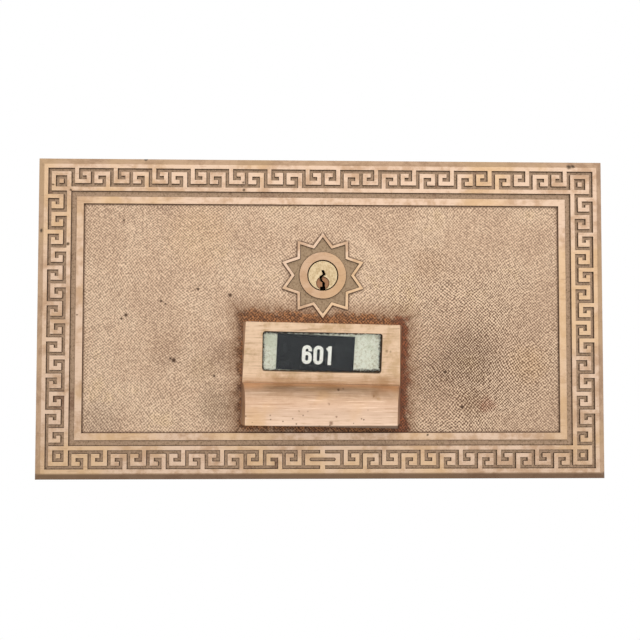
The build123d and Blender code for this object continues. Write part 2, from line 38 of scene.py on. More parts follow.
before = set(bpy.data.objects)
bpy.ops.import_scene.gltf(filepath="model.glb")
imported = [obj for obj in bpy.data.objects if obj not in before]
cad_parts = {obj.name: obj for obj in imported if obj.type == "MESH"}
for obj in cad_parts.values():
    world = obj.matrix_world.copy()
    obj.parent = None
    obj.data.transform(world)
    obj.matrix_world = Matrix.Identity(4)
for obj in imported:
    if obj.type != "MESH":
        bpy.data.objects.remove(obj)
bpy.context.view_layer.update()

MM = 0.001

# Places and sizes in millimetres, as the CAD model has them
BORDER_TOP = 32.0
FIELD_LEVEL = 30.8
BACK_LEVEL = 25.6
FIELD_HALF = (115.7, 55.4)
HOLLOW_HALF = (129.7, 69.4)  # of the door's hollow back, with a little to spare
LOCK_CENTRE = (0.0, 20.9)
BOSS_RADIUS = 11.4
STAR_GROUND_RADIUS = 19.4
WINDOW_SIZE = (57.5, 19.7)
# The window as the front shows it, where its slope shortens it: centre and half sizes
WINDOW_SEEN = (-0.6, -16.3), (28.9, 9.6)

# The stain around the pull: its centre and half sizes in millimetres, and how far its edges lean
STAIN_CENTRE = (0.3, -26.4)
STAIN_HALF = (40.4, 28.0)
STAIN_LEAN = 0.035

# Soft stains on the field: place across and up and radius in millimetres, colour, and share at the middle
FIELD_STAINS = (
    (72.0, -19.0, 21.0, "6f543e", 0.50),
    (55.0, -27.0, 17.0, "78593f", 0.35),
    (73.5, -41.0, 11.0, "7a5936", 0.45),
    (80.5, -41.5, 5.5, "96553d", 0.50),
    (101.0, -22.0, 13.0, "c39c6c", 0.35),
    (-107.0, -49.0, 14.0, "93806e", 0.30),
    (-76.0, -15.0, 14.0, "98755a", 0.30),
    (-58.0, -24.0, 10.0, "9a7f58", 0.25),
    (-50.0, -42.0, 14.0, "745b40", 0.38),
    (-47.0, -18.0, 11.0, "7c5c3f", 0.35),
    (52.0, 26.0, 13.0, "a8805c", 0.30),
    (-60.0, 40.0, 22.0, "cdaa82", 0.35),
)
# Dents struck into the field, filled with dirt: place and radius in millimetres
FIELD_DENTS = (
    (-95.1, 1.4, 1.3),
    (-97.3, -0.4, 0.82),
    (-72.0, -20.5, 1.6),
    (-73.6, -19.6, 0.9),
    (-78.3, 8.2, 0.9),
    (-76.2, 6.8, 0.72),
    (-96.5, 47.5, 0.82),
    (-52.5, -28.0, 0.9),
    (-60.5, 14.1, 1.0),
    (-45.0, 11.2, 1.3),
    (59.6, -26.0, 1.1),
    (67.9, -43.0, 1.2),
)
# Dents and darker spots on the pull: place and radius in millimetres, colour, and share at the middle
PULL_DENTS = (
    (7.2, -34.4, 0.9, "6b4a31", 0.8),
    (9.5, -34.0, 0.6, "6b4a31", 0.6),
    (23.8, -37.3, 0.9, "8d6a4a", 0.8),
    (2.5, -41.0, 0.75, "8f7258", 0.8),
    (-11.6, -44.3, 0.6, "a08468", 0.8),
    (3.5, -50.0, 1.4, "7d5c46", 0.8),
    (6.0, -47.0, 0.75, "7d5c46", 0.8),
    (30.6, -16.0, 1.0, "8a6a4a", 0.6),
    (32.4, -16.3, 0.68, "8a6a4a", 0.6),
    (24.5, -36.5, 2.6, "9a744f", 0.5),
    (26.0, -38.6, 1.4, "a8845c", 0.5),
)
# Nicks in the casting's edge and border: place and radius in millimetres
EDGE_NICKS = (
    (-136.3, 42.3, 1.3),
    (-123.1, 35.6, 1.1),
    (-86.4, 77.5, 1.3),
    (121.4, 75.0, 1.8),
    (123.4, 75.3, 1.4),
    (-118.4, 1.4, 0.6),
    (-130.6, 64.4, 0.7),
    (-122.1, 61.9, 0.7),
    (-132.3, 29.9, 0.7),
    (-38.7, 66.1, 0.8),
    (-38.4, 62.4, 1.0),
    (42.6, 55.0, 0.9),
    (-37.3, -68.3, 0.7),
    (50.8, -56.4, 0.8),
)
# Painted shade along the keyway's zigzag, as dark spots: place from the plug's middle and radius in
# millimetres
KEYWAY_SHADE = (
    (0.15, 1.9, 0.95),
    (0.75, 0.55, 1.05),
    (0.0, 0.0, 0.95),
    (-0.95, -0.75, 1.05),
    (-0.85, -2.2, 1.0),
    (0.5, -3.9, 0.95),
)

# The printed digits: the pen's radius, the radius of its arcs in millimetres, the gap between digits, the
# depth of the ink, and the number's place to the right of and above the label's middle
PEN = 0.9 * MM
PEN_ARC = 1.55
DIGIT_GAP = 0.72 * MM
INK_DEPTH = 0.01 * MM
NUMBER_SHIFT = (0.65 * MM, -1.0 * MM)
# How far the ink and the dirt stand off what they lie on, and how thick the dirt is
STAND_OFF = 0.03 * MM
DIRT_DEPTH = 0.02 * MM

# Corners of a CAD mesh closer than this are one; faces that meet at less than FLAT_ANGLE are one flat
# face; edges past OUTER_ANGLE are rounded, and those past SHARP_ANGLE are shaded sharp
SAME_PLACE = 1e-6
FLAT_ANGLE = math.radians(0.8)
OUTER_ANGLE = math.radians(32)
SHARP_ANGLE = math.radians(34)

# The door casting's finishes, in the order of its materials
RAISED, GROOVE, FIELD, STAR_GROUND, EDGE, BACK = range(6)

# The photograph's viewpoint: a short phone lens half a metre away, turned 2 degrees right and 3 up
CAMERA_PLACE = (-0.01746, -0.512, -0.02362)
CAMERA_TURN, CAMERA_TILT, CAMERA_ROLL = (math.radians(angle) for angle in (-1.922, 2.714, -0.058))
CAMERA_LENS = 55.77  # millimetres of focal length on a sensor 36 mm wide
LAMP_PLACE = (0.15, -1.25, 0.55)
LAMP_SIZE = 1.6
FLOOR_LEVEL = -0.32


# ---------------------------------------------------------------- colours and nodes


def linear(code):
    """An sRGB hex colour as linear red, green, blue and alpha."""
    values = [int(code[i : i + 2], 16) / 255 for i in (0, 2, 4)]
    return (*[v / 12.92 if v <= 0.04045 else ((v + 0.055) / 1.055) ** 2.4 for v in values], 1.0)


def add_node(tree, kind, inputs=None, stops=None, **settings):
    """Adds one node with its settings, ramp stops, and input values or links.

    A node given as an input stands for its main output.
    """
    node = tree.nodes.new(kind)
    for name, value in settings.items():
        setattr(node, name, value)
    if stops:
        ramp = node.color_ramp
        while len(ramp.elements) < len(stops):
            ramp.elements.new(0.5)
        for element, (place, colour) in zip(ramp.elements, stops):
            element.position, element.color = place, linear(colour)
    for name, value in (inputs or {}).items():
        if isinstance(value, bpy.types.Node):
            value = next(socket for socket in value.outputs if socket.enabled)
        if isinstance(value, bpy.types.NodeSocket):
            tree.links.new(value, node.inputs[name])
        else:
            node.inputs[name].default_value = value
    return node


def start_material(name, metallic, roughness):
    """A material with a Principled shader, and the Object coordinates that its patterns read."""
    material = bpy.data.materials.new(name)
    material.use_nodes = True
    tree = material.node_tree
    tree.nodes.clear()
    shader = add_node(tree, "ShaderNodeBsdfPrincipled", {"Metallic": metallic, "Roughness": roughness})
    add_node(tree, "ShaderNodeOutputMaterial", {"Surface": shader})
    return material, tree, shader, add_node(tree, "ShaderNodeTexCoord").outputs["Object"]


def opaque(shade):
    """A colour setting with the alpha that a shader's input needs."""
    return (*shade, 1.0)


def covered(tree, under, over, value, start, end, most=1.0):
    """A colour covered by another as value goes from start to end, up to the share most."""
    share = add_node(
        tree,
        "ShaderNodeMapRange",
        {"Value": value, "From Min": start, "From Max": end, "To Max": most},
        interpolation_type="SMOOTHSTEP",
    )
    return add_node(tree, "ShaderNodeMix", {0: share, 6: under, 7: over}, data_type="RGBA")


def shade_and_dirt_in_corners(tree, under, over, reach, start, end, most):
    """A colour darkened in corners by painted shade, with some dirt.

    The painted shade and dirt come up to the share most as the open part of a surface's view within reach mm
    goes from start to end.
    """
    # Painted shade: darker where less of the surroundings is in view
    view = add_node(tree, "ShaderNodeAmbientOcclusion", {"Distance": reach * MM}, samples=8, only_local=True)
    return covered(tree, under, linear(over), view.outputs["AO"], start, end, most)


def spotted(tree, under, place, spots, ragged):
    """A colour with round spots, each given by its place, radius, colour and share at the middle.

    Their edges are ragged by so many millimetres.
    """
    roughened = add_node(
        tree,
        "ShaderNodeTexNoise",
        {"Vector": place, "Scale": 0.5 / (ragged * MM), "Detail": 4.0, "Roughness": 0.6},
    )
    flat = add_node(tree, "ShaderNodeVectorMath", {0: place, 1: (1.0, 0.0, 1.0)}, operation="MULTIPLY")
    for across, up, radius, code, most in spots:
        away = add_node(
            tree, "ShaderNodeVectorMath", {0: flat, 1: (across * MM, 0.0, up * MM)}, operation="DISTANCE"
        )
        edge = add_node(
            tree, "ShaderNodeMath", {0: roughened, 1: 4 * ragged * MM, 2: away}, operation="MULTIPLY_ADD"
        )
        rim = (radius + 2 * ragged) * MM
        under = covered(tree, under, linear(code), edge, rim, rim - 0.75 * radius * MM, most)
    return under


def outside(tree, place, centre, half):
    """Distance in metres outside a rectangle on the front, from its centre and half sizes in mm."""
    split = add_node(tree, "ShaderNodeSeparateXYZ", {0: place})
    gaps = []
    for axis, middle, reach in (("X", centre[0], half[0]), ("Z", centre[1], half[1])):
        away = add_node(
            tree, "ShaderNodeMath", {0: split.outputs[axis], 1: middle * MM}, operation="SUBTRACT"
        )
        length = add_node(tree, "ShaderNodeMath", {0: away}, operation="ABSOLUTE")
        gaps.append(add_node(tree, "ShaderNodeMath", {0: length, 1: reach * MM}, operation="SUBTRACT"))
    return add_node(tree, "ShaderNodeMath", dict(enumerate(gaps)), operation="MAXIMUM")


def finished(tree, shader, colour, height, depth):
    """Gives the shader its colour, and a bump whose depth in mm follows a height."""
    bump = add_node(tree, "ShaderNodeBump", {"Height": height, "Distance": depth * MM, "Strength": 0.6})
    tree.links.new(bump.outputs[0], shader.inputs["Normal"])
    tree.links.new(next(socket for socket in colour.outputs if socket.enabled), shader.inputs["Base Color"])


# ---------------------------------------------------------------- materials

# Clean brass is all metal, and its tarnish and dirt aren't, so each finish is metallic by a share


def pull_stain(tree, place, under, marks):
    """The tarnish that a hand's sweat leaves on the door around the pull.

    It fills the grain first, and is redder on the right.
    """
    split = add_node(tree, "ShaderNodeSeparateXYZ", {0: place})
    across = split.outputs["X"]
    # Its edges lean with the pull, which sits a little out of square
    leaning = add_node(
        tree, "ShaderNodeMath", {0: across, 1: STAIN_LEAN, 2: split.outputs["Z"]}, operation="MULTIPLY_ADD"
    )
    spot = add_node(tree, "ShaderNodeCombineXYZ", {"X": across, "Z": leaning})
    away = outside(tree, spot, STAIN_CENTRE, STAIN_HALF)
    speckle = add_node(
        tree,
        "ShaderNodeTexNoise",
        {"Vector": place, "Scale": 1 / (4.5 * MM), "Detail": 7.0, "Roughness": 0.7},
    )
    grained = add_node(tree, "ShaderNodeMath", {0: marks, 1: -1.2 * MM, 2: away}, operation="MULTIPLY_ADD")
    ragged = add_node(tree, "ShaderNodeMath", {0: speckle, 1: 12 * MM, 2: grained}, operation="MULTIPLY_ADD")
    fringe = covered(tree, under, linear("7c5636"), ragged, 14.5 * MM, 6.0 * MM, 0.5)
    warm = covered(tree, linear("7a5233"), linear("aa7245"), across, -44 * MM, -34 * MM)
    light = covered(tree, warm, linear("8e4c2c"), across, 30 * MM, 39 * MM)
    grit = add_node(
        tree,
        "ShaderNodeTexNoise",
        {"Vector": place, "Scale": 1 / (2.2 * MM), "Detail": 4.0, "Roughness": 0.75},
    )
    mottled = covered(tree, light, linear("4c2817"), grit, 0.46, 0.58, 0.75)
    rust = covered(tree, mottled, linear("432818"), marks, 0.43, 0.58, 0.9)
    return covered(tree, fringe, rust, ragged, 8.4 * MM, 4.6 * MM, 0.92)


def field_brass(name, settings):
    """Sand-cast brass, chased all over with a matting punch and left to tarnish.

    It is pinkish tan and dull, and dark between the marks.
    """
    material, tree, shader, place = start_material(name, 0.6, 0.55)
    split = add_node(tree, "ShaderNodeSeparateXYZ", {0: place})
    across, up = split.outputs["X"], split.outputs["Z"]
    # Tarnish in soft clouds, and a little painted shade that darkens the field towards its lower right
    clouds = add_node(
        tree,
        "ShaderNodeTexNoise",
        {"Vector": place, "Scale": 1 / (30 * MM), "Detail": 6.0, "Roughness": 0.62},
    )
    tint = add_node(
        tree,
        "ShaderNodeValToRGB",
        {0: clouds},
        stops=[(0.30, "c2a48a"), (0.45, "cdaf93"), (0.58, "d6ba9e"), (0.75, "d8ba91")],
    )
    # Painted shade: the field darkens a little towards its lower right
    corner = add_node(tree, "ShaderNodeMath", {0: up, 1: -1.2, 2: across}, operation="MULTIPLY_ADD")
    shaded = covered(tree, tint, linear("94765a"), corner, -60 * MM, 130 * MM, 0.10)
    stained = spotted(tree, shaded, place, FIELD_STAINS, 2.5)
    # The marks show most where the tarnish is deep
    away = add_node(
        tree,
        "ShaderNodeVectorMath",
        {0: place, 1: (70 * MM, -FIELD_LEVEL * MM, -22 * MM)},
        operation="DISTANCE",
    )
    patchy = add_node(tree, "ShaderNodeMath", {0: clouds, 1: -80 * MM, 2: away}, operation="MULTIPLY_ADD")
    strength = add_node(
        tree,
        "ShaderNodeMapRange",
        {"Value": patchy, "From Min": 22 * MM, "From Max": -28 * MM, "To Min": 0.60, "To Max": 1.0},
    )
    # Punch marks in two crossed sets of rows, which drift and wobble as they were struck by eye
    flat = add_node(tree, "ShaderNodeCombineXYZ", {"X": across, "Y": up})
    for size, reach in ((38 * MM, 9 * MM), (3.8 * MM, 1.5 * MM)):
        drift = add_node(tree, "ShaderNodeTexNoise", {"Vector": place, "Scale": 1 / size, "Detail": 1.0})
        flat = add_node(
            tree,
            "ShaderNodeVectorMath",
            {0: drift.outputs["Color"], 1: (reach, reach, 0.0), 2: flat},
            operation="MULTIPLY_ADD",
        )
    turned = add_node(tree, "ShaderNodeMapping", {0: flat, "Rotation": (0.0, 0.0, math.radians(48))})
    rows = add_node(tree, "ShaderNodeSeparateXYZ", {0: turned})
    marks = add_node(
        tree,
        "ShaderNodeTexNoise",
        {"Vector": place, "Scale": 1 / (1.0 * MM), "Detail": 3.0, "Roughness": 0.8},
    )
    for axis in ("X", "Y"):
        angle = add_node(
            tree,
            "ShaderNodeMath",
            {0: rows.outputs[axis], 1: 2 * math.pi / settings.grain_pitch},
            operation="MULTIPLY",
        )
        wave = add_node(tree, "ShaderNodeMath", {0: angle}, operation="SINE")
        struck = add_node(tree, "ShaderNodeMath", {0: wave, 1: strength}, operation="MULTIPLY")
        marks = add_node(tree, "ShaderNodeMath", {0: struck, 1: 0.125, 2: marks}, operation="MULTIPLY_ADD")
    # Painted highlight on the tops of the punch marks; the creases between them darken with tarnish
    punch_highlight = covered(tree, stained, linear("edd0b1"), marks, 0.44, 0.26, 0.75)
    creased = covered(tree, punch_highlight, linear("593b27"), marks, 0.44, 0.62, strength)
    dented = spotted(tree, creased, place, [(*dent, "402715", 0.95) for dent in FIELD_DENTS], 0.25)
    rusted = pull_stain(tree, place, dented, marks)
    # Painted shade, with some dirt, darkens the field in its corners and along its edges
    final = shade_and_dirt_in_corners(tree, rusted, "4a2d1b", 1.3, 0.97, 0.55, 0.85)
    height = add_node(tree, "ShaderNodeMath", {0: 1.0, 1: marks}, operation="SUBTRACT")
    finished(tree, shader, final, height, 0.14)
    return material


def raised_brass(name, bright, dull, rough=0.42, bottom_shade_and_dirt=0.0):
    """Cast brass rubbed bright by hands and cloths.

    It is pale rose gold, with faint wear marks and duller patches.
    """
    material, tree, shader, place = start_material(name, 0.75, rough)
    wear = add_node(
        tree,
        "ShaderNodeTexNoise",
        {"Vector": place, "Scale": 1 / (9 * MM), "Detail": 7.0, "Roughness": 0.7},
    )
    tone = covered(tree, dull, bright, wear, 0.38, 0.58)
    patch = add_node(tree, "ShaderNodeTexNoise", {"Vector": place, "Scale": 1 / (45 * MM), "Detail": 3.0})
    yellowed = covered(tree, tone, linear("c8a67c"), patch, 0.46, 0.60, 0.6)
    # The turned ring around the plug is duller, from keys and fingers
    ring = add_node(
        tree,
        "ShaderNodeVectorMath",
        {0: place, 1: (LOCK_CENTRE[0] * MM, -BORDER_TOP * MM, LOCK_CENTRE[1] * MM)},
        operation="DISTANCE",
    )
    rim, top = (BOSS_RADIUS + 0.3) * MM, (BOSS_RADIUS - 0.1) * MM
    turned = covered(tree, yellowed, linear("ab8765"), ring, rim, top, 0.6)
    # Rubbing marks along the door; real ones are finer, and these are drawn 0.9 mm wide so that they show
    lines = add_node(
        tree, "ShaderNodeMapping", {0: place, "Scale": (1 / (6 * MM), 1 / (5 * MM), 1 / (0.9 * MM))}
    )
    scratches = add_node(tree, "ShaderNodeTexNoise", {"Vector": lines, "Scale": 1.0, "Detail": 3.0})
    scratched = covered(tree, turned, linear("94735a"), scratches, 0.57, 0.74, 0.35)
    # Painted shade, with some dirt, darkening the casting's lowest edge, which faces down
    up = add_node(tree, "ShaderNodeSeparateXYZ", {0: place}).outputs["Z"]
    bottom_darkened = covered(tree, scratched, linear("5f422c"), up, -74.3 * MM, -75.6 * MM, bottom_shade_and_dirt)
    nicked = spotted(tree, bottom_darkened, place, [(*nick, "45331d", 0.9) for nick in EDGE_NICKS], 0.3)
    # Painted shade, with some dirt, in the corners beside the grooves
    final = shade_and_dirt_in_corners(tree, nicked, "5d3c25", 0.9, 0.9, 0.4, 0.6)
    finished(tree, shader, final, scratches, 0.03)
    return material


def groove_brass(name, floor):
    """Cast brass at the bottom of the grooves, where polish and dirt dried.

    It is olive brown, redder in patches, and darkened in corners by painted shade with some dirt.
    """
    material, tree, shader, place = start_material(name, 0.45, 0.6)
    grit = add_node(
        tree,
        "ShaderNodeTexNoise",
        {"Vector": place, "Scale": 1 / (1.0 * MM), "Detail": 5.0, "Roughness": 0.75},
    )
    patch = add_node(tree, "ShaderNodeTexNoise", {"Vector": place, "Scale": 1 / (16 * MM), "Detail": 4.0})
    gritty = covered(tree, floor, linear("7f674a"), grit, 0.44, 0.70)
    red = covered(tree, gritty, linear("6e452e"), patch, 0.58, 0.70, 0.5)
    # A dark line of painted shade, with some dirt, about half a millimetre wide along both sides
    final = shade_and_dirt_in_corners(tree, red, "2a1d10", 0.38, 0.97, 0.70, 0.95)
    finished(tree, shader, final, grit, 0.1)
    return material


def pull_brass(name, settings):
    """Brass pull, filed smooth and handled for decades.

    It is rose gold, brown with painted shade and some tarnish in the valley, and pitted along the grip.
    """
    material, tree, shader, place = start_material(name, 0.75, 0.46)
    clouds = add_node(
        tree,
        "ShaderNodeTexNoise",
        {"Vector": place, "Scale": 1 / (13 * MM), "Detail": 6.0, "Roughness": 0.66},
    )
    tone = covered(tree, opaque(settings.worn_colour), opaque(settings.face_colour), clouds, 0.36, 0.56)
    # Painted shade, with some tarnish, brown in the valley, whose deepest line is at a height of -32 mm;
    # below it the roll has painted light and shade, rosy lower down and darker up its upper slope, and
    # golden patches
    up = add_node(tree, "ShaderNodeSeparateXYZ", {0: place}).outputs["Z"]
    wavy = add_node(tree, "ShaderNodeMath", {0: clouds, 1: 3.0 * MM, 2: up}, operation="MULTIPLY_ADD")
    valley_shade_share = add_node(
        tree,
        "ShaderNodeMapRange",
        {"Value": wavy, "From Min": -34.0 * MM, "From Max": -30.2 * MM, "To Max": 0.5},
        interpolation_type="SMOOTHSTEP",
    )
    # Painted light lower on the roll, and painted shade up its upper slope
    roll_lightened = covered(tree, tone, linear("e2c7b2"), wavy, -35.0 * MM, -42.0 * MM, 0.65)
    roll_shaded = covered(tree, roll_lightened, linear("aa866c"), wavy, -55.0 * MM, -38.0 * MM, 0.62)
    patch = add_node(tree, "ShaderNodeTexNoise", {"Vector": place, "Scale": 1 / (24 * MM), "Detail": 3.0})
    golden = covered(tree, roll_shaded, linear("c99f6d"), patch, 0.50, 0.66, 0.5)
    paled = covered(tree, golden, tone, wavy, -33.0 * MM, -30.0 * MM)
    # Painted shade, with some tarnish, in the valley
    valley_shaded = covered(tree, paled, linear("9d6e42"), wavy, -25.2 * MM, -29.2 * MM, valley_shade_share)
    # File marks across the pull; real ones are finer, and these are drawn 0.8 mm wide so that they show
    lines = add_node(
        tree, "ShaderNodeMapping", {0: place, "Scale": (1 / (14 * MM), 1 / (0.8 * MM), 1 / (0.8 * MM))}
    )
    marks = add_node(
        tree, "ShaderNodeTexNoise", {"Vector": lines, "Scale": 1.0, "Detail": 4.0, "Roughness": 0.65}
    )
    # The file marks' bright streaks are painted highlights
    bright = covered(tree, valley_shaded, linear("f2d8bd"), marks, 0.46, 0.26, 0.55)
    filed = covered(tree, bright, linear("97724f"), marks, 0.52, 0.74, 0.65)
    # Pits, which get more numerous down the roll, and painted shade as a dark edge along its foot
    spots = add_node(tree, "ShaderNodeTexVoronoi", {"Vector": place, "Scale": 1 / (3.0 * MM)})
    pitting = add_node(
        tree,
        "ShaderNodeMapRange",
        {"Value": wavy, "From Min": -39.0 * MM, "From Max": -47.5 * MM, "To Max": 0.75},
        interpolation_type="SMOOTHSTEP",
    )
    pitted = covered(tree, filed, linear("5e412e"), spots, 0.17, 0.09, pitting)
    foot_shaded = covered(tree, pitted, linear("432d1d"), up, -50.9 * MM, -51.5 * MM, 0.85)
    dented = spotted(tree, foot_shaded, place, PULL_DENTS, 0.3)
    # Painted shade, with some dirt, in the pull's corners
    final = shade_and_dirt_in_corners(tree, dented, "4e3523", 1.0, 0.85, 0.35, 0.7)
    finished(tree, shader, final, marks, 0.03)
    return material


def plug_brass(name):
    """Turned yellow brass of the lock plug: paler and yellower than the casting, with key scratches."""
    material, tree, shader, place = start_material(name, 0.75, 0.42)
    scratches = add_node(
        tree,
        "ShaderNodeTexNoise",
        {"Vector": place, "Scale": 1 / (1.4 * MM), "Detail": 6.0, "Roughness": 0.72},
    )
    tone = covered(tree, linear("aa926d"), linear("c9b490"), scratches, 0.36, 0.60)
    # Red brown in the turned recess, and painted shade, nearly black, down in the keyway
    depth = add_node(tree, "ShaderNodeSeparateXYZ", {0: place}).outputs["Y"]
    sunk = covered(tree, tone, linear("875a3d"), depth, -31.3 * MM, -31.0 * MM, 0.9)
    dark = covered(tree, sunk, linear("1a0f09"), depth, -30.6 * MM, -29.8 * MM)
    across, up = LOCK_CENTRE
    # Painted shade as dark spots along the keyway's zigzag
    wear = [(across + x, up + z, radius, "1a0f09", 0.95) for x, z, radius in KEYWAY_SHADE]
    worn = spotted(tree, dark, place, wear, 0.08)
    # Painted shade, with some dirt, in the plug's corners
    final = shade_and_dirt_in_corners(tree, worn, "402713", 0.9, 0.95, 0.5, 0.9)
    finished(tree, shader, final, scratches, 0.02)
    return material


def plain_metal(name, light, dark, rough, patch=9.0):
    """A metal part behind the door, of one colour with a fine grain and soft patches of tarnish.

    The patches are so many millimetres across.
    """
    material, tree, shader, place = start_material(name, 0.8, rough)
    patches = add_node(
        tree,
        "ShaderNodeTexNoise",
        {"Vector": place, "Scale": 1 / (patch * MM), "Detail": 6.0, "Roughness": 0.6},
    )
    grain = add_node(tree, "ShaderNodeTexNoise", {"Vector": place, "Scale": 1 / (1.0 * MM), "Detail": 3.0})
    tone = covered(tree, linear(light), linear(dark), patches, 0.46, 0.78, 0.6)
    grained = covered(tree, tone, linear(dark), grain, 0.50, 0.75, 0.4)
    # Painted shade, with some dirt, in the part's corners
    final = shade_and_dirt_in_corners(tree, grained, "4d3820", 2.0, 0.8, 0.3, 0.6)
    finished(tree, shader, final, grain, 0.03)
    return material


def window_edge(tree, place, under, reach):
    """The dirt that crept in under the window's edge, within reach mm of it."""
    creep = add_node(
        tree,
        "ShaderNodeTexNoise",
        {"Vector": place, "Scale": 1 / (1.5 * MM), "Detail": 6.0, "Roughness": 0.75},
    )
    away = outside(tree, place, *WINDOW_SEEN)
    inside = add_node(
        tree, "ShaderNodeMath", {0: creep, 1: 3.0 * reach * MM, 2: away}, operation="MULTIPLY_ADD"
    )
    return covered(tree, under, linear("33291d"), inside, 0.35 * reach * MM, 1.35 * reach * MM)


def backing_card(name, settings):
    """Old cream card behind the window, gone grey-green, flaked and mouldy at its edges."""
    material, tree, shader, place = start_material(name, 0.0, 0.75)
    flakes = add_node(
        tree,
        "ShaderNodeTexNoise",
        {"Vector": place, "Scale": 1 / (1.2 * MM), "Detail": 7.0, "Roughness": 0.78},
    )
    clouds = add_node(tree, "ShaderNodeTexNoise", {"Vector": place, "Scale": 1 / (7 * MM), "Detail": 3.0})
    tone = covered(tree, linear("cfcab2"), opaque(settings.backing_colour), flakes, 0.38, 0.54)
    faded = covered(tree, tone, linear("c9cdb4"), clouds, 0.45, 0.65, 0.6)
    specked = covered(tree, faded, linear("6a6552"), flakes, 0.40, 0.33, 0.7)
    final = window_edge(tree, place, specked, 1.5)
    finished(tree, shader, final, flakes, 0.03)
    return material


def label_paper(name, settings):
    """Matt black number label, a little greyed by dust."""
    material, tree, shader, place = start_material(name, 0.0, 0.6)
    shader.inputs["Specular IOR Level"].default_value = 0.2
    dust = add_node(
        tree,
        "ShaderNodeTexNoise",
        {"Vector": place, "Scale": 1 / (1.6 * MM), "Detail": 7.0, "Roughness": 0.75},
    )
    tone = covered(tree, opaque(settings.label_colour), linear("6a6d70"), dust, 0.46, 0.80, 0.6)
    finished(tree, shader, tone, dust, 0.01)
    return material


def number_ink(name):
    """White printing of the box number, worn a little thin."""
    material, tree, shader, place = start_material(name, 0.0, 0.55)
    worn = add_node(tree, "ShaderNodeTexNoise", {"Vector": place, "Scale": 1 / (0.9 * MM), "Detail": 4.0})
    tone = covered(tree, linear("e8e4da"), linear("fffdf6"), worn, 0.34, 0.44)
    finished(tree, shader, tone, worn, 0.005)
    return material


def dried_dirt(name):
    """Dried dust and polish along the window's edge: matt, nearly black brown."""
    material, tree, shader, place = start_material(name, 0.0, 0.9)
    crumbs = add_node(
        tree,
        "ShaderNodeTexNoise",
        {"Vector": place, "Scale": 1 / (0.7 * MM), "Detail": 4.0, "Roughness": 0.7},
    )
    tone = covered(tree, linear("241b13"), linear("6e5a44"), crumbs, 0.38, 0.72)
    finished(tree, shader, tone, crumbs, 0.01)
    return material


def clear_glass(name):
    """Drawn window glass: clear, flat and faintly green, its glare dulled by dust."""
    material, _, shader, _ = start_material(name, 0.0, 0.02)
    shader.inputs["Base Color"].default_value = linear("fdfefc")
    shader.inputs["Transmission Weight"].default_value = 1.0
    # Clean glass has 1.52; less stands for the dust, which takes its glare away
    shader.inputs["IOR"].default_value = 1.2
    return material


# ---------------------------------------------------------------- meshes


def rounded_copy(node, name, body, slot, width, materials, choose=None, segments=2, soft=False):
    """A copy of a CAD piece with its outer edges rounded by width mm, and its faces sorted into materials.

    Large flat faces stay whole, so that they are shaded flat up to their edges, unless the piece is soft.
    """
    bm = bmesh.new()
    bm.from_mesh(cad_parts[node].data)
    bmesh.ops.remove_doubles(bm, verts=bm.verts, dist=SAME_PLACE)
    bm.normal_update()
    if choose:
        for face in bm.faces:
            face.material_index = choose(face)
    bmesh.ops.dissolve_limit(
        bm,
        angle_limit=FLAT_ANGLE,
        verts=bm.verts,
        edges=bm.edges,
        use_dissolve_boundaries=False,
        delimit={"MATERIAL"},
    )
    outer = [e for e in bm.edges if e.is_manifold and e.calc_face_angle_signed(0) > OUTER_ANGLE]
    if width:
        bmesh.ops.bevel(
            bm,
            geom=outer,
            offset=width * MM,
            offset_type="OFFSET",
            affect="EDGES",
            segments=segments,
            profile=0.5,
            material=-1,
            clamp_overlap=True,
        )
    if soft:
        bmesh.ops.triangulate(bm, faces=[f for f in bm.faces if len(f.verts) > 4])
    mesh = bpy.data.meshes.new(name)
    bm.to_mesh(mesh)
    bm.free()
    for polygon in mesh.polygons:
        polygon.use_smooth = True
    mesh.set_sharp_from_angle(angle=SHARP_ANGLE)
    return place_piece(name, mesh, body, slot, materials, node)


def place_piece(name, mesh, body, slot, materials, *nodes):
    """Puts a finished mesh in the scene on its body, with its materials and the CAD nodes it stands for."""
    for material in materials:
        mesh.materials.append(material)
    piece = bpy.data.objects.new(name, mesh)
    bpy.context.scene.collection.objects.link(piece)
    # A piece of only a few faces is shaded well as it is
    if len(mesh.polygons) > 50:
        flatten = piece.modifiers.new("Even shading", "WEIGHTED_NORMAL")
        flatten.keep_sharp = True
    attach(piece, body)
    if nodes:
        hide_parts(*nodes)
    return piece


def paint(material, *nodes):
    """Gives CAD pieces that are shown as they are their material."""
    for node in nodes:
        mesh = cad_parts[node].data
        mesh.materials.clear()
        mesh.materials.append(material)


def on_card(node, shift=(0.0, 0.0)):
    """The matrix that lays a flat drawing on the front of a card in the window.

    The shift moves it right and up, in metres.
    """
    bm = bmesh.new()
    bm.from_mesh(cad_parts[node].data)
    bmesh.ops.remove_doubles(bm, verts=bm.verts, dist=SAME_PLACE)
    bm.normal_update()
    bmesh.ops.dissolve_limit(bm, angle_limit=FLAT_ANGLE, verts=bm.verts, edges=bm.edges)
    front = max(bm.faces, key=lambda f: -f.normal.y * f.calc_area())
    centre, out = front.calc_center_median(), front.normal.copy()
    longest = max(front.edges, key=lambda e: e.calc_length())
    right = (longest.verts[1].co - longest.verts[0].co).normalized()
    bm.free()
    if right.x < 0:
        right.negate()
    up = out.cross(right)
    turn = Matrix((right, up, out)).transposed().to_4x4()
    return Matrix.Translation(centre + out * STAND_OFF + right * shift[0] + up * shift[1]) @ turn


def arc(height, first, last):
    """Points of a pen's arc around the digit's middle line, from one angle to another, in degrees and mm."""
    steps = 10
    angles = [math.radians(first + (last - first) * i / steps) for i in range(steps + 1)]
    return [(PEN_ARC * math.cos(a), height + PEN_ARC * math.sin(a)) for a in angles]


